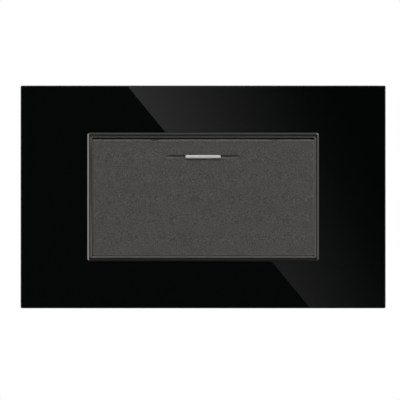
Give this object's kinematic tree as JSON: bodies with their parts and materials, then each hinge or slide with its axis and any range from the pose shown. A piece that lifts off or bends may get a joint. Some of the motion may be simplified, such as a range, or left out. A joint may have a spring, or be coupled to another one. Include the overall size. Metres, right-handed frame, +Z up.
{
  "type": "light switch",
  "caption": "Wall light switch: a wide black glass plate, a thin grey bezel and a large grey rocker key with an indicator light, over a snap-action mechanism.",
  "frame": {"origin": "centre of the panel's back, on the wall plane and midway between the wall screws", "axes": "+X to the right as the user sees it, +Y into the wall, +Z up; the key faces -Y"},
  "size_m": [0.118, 0.0337, 0.072],
  "materials": {
    "black_glass": "polished, back-painted black",
    "bezel_metal": "satin grey lacquer",
    "foam_tape": "black acrylic foam tape",
    "frame_abs": "black moulded ABS",
    "zinc_steel": "pressed and zinc plated",
    "collar_polycarbonate": "moulded, satin",
    "base_nylon": "off-white moulded nylon",
    "screw_steel": "zinc plated",
    "brass": "stamped brass",
    "silver": "silver alloy contact",
    "board_laminate": "green solder mask on glass laminate",
    "chip_resin": "clear yellow resin",
    "resistor_ceramic": "black glazed",
    "key_polycarbonate": "fine textured grey metallic lacquer",
    "lens_acrylic": "white translucent",
    "actuator_acetal": "white moulded",
    "plunger_acetal": "white moulded",
    "spring_steel": "drawn wire",
    "copper_alloy": "phosphor bronze strip"
  },
  "bodies": {
    "housing": {"glass_panel": "black_glass", "bezel": "bezel_metal", "glass_tape": "foam_tape", "panel_frame": "frame_abs", "bracket": "zinc_steel", "cradle": "collar_polycarbonate", "base": "base_nylon", "base_screws": "screw_steel", "terminal_common": "brass", "terminal_upper": "brass", "terminal_lower": "brass", "contact_upper": "silver", "contact_lower": "silver", "clamp_common": "brass", "clamp_upper": "brass", "clamp_lower": "brass", "clamp_screws": "screw_steel", "light_board": "board_laminate", "light_chips": "chip_resin", "light_resistor": "resistor_ceramic", "light_pins": "brass"},
    "rocker": {"key": "key_polycarbonate", "lens": "lens_acrylic", "actuator": "actuator_acetal", "plunger_spring": "spring_steel"},
    "plunger": {"plunger": "plunger_acetal"},
    "blade": {"contact_blade": "copper_alloy", "blade_buttons": "silver"}
  },
  "joints": [
    {"name": "rocker_hinge", "type": "hinge", "parent": "housing", "child": "rocker", "pos_m": [0, -0.0068, 0], "axis": [-1, 0, 0], "range_deg": [0, 7]},
    {"name": "blade_hinge", "type": "hinge", "parent": "housing", "child": "blade", "pos_m": [0, 0.0066, 0], "axis": [1, 0, 0], "range_deg": [0, 21]},
    {"name": "plunger_slide", "type": "slide", "parent": "rocker", "child": "plunger", "axis": [0, -0.9981, -0.061], "range_m": [0, 0.0008], "stiffness_N_per_m": 400, "springref_m": -0.002, "deforming": ["plunger_spring"]}
  ],
  "couplings": [
    {"joint": "blade_hinge", "follows": "rocker_hinge", "ratio": 3}
  ]
}
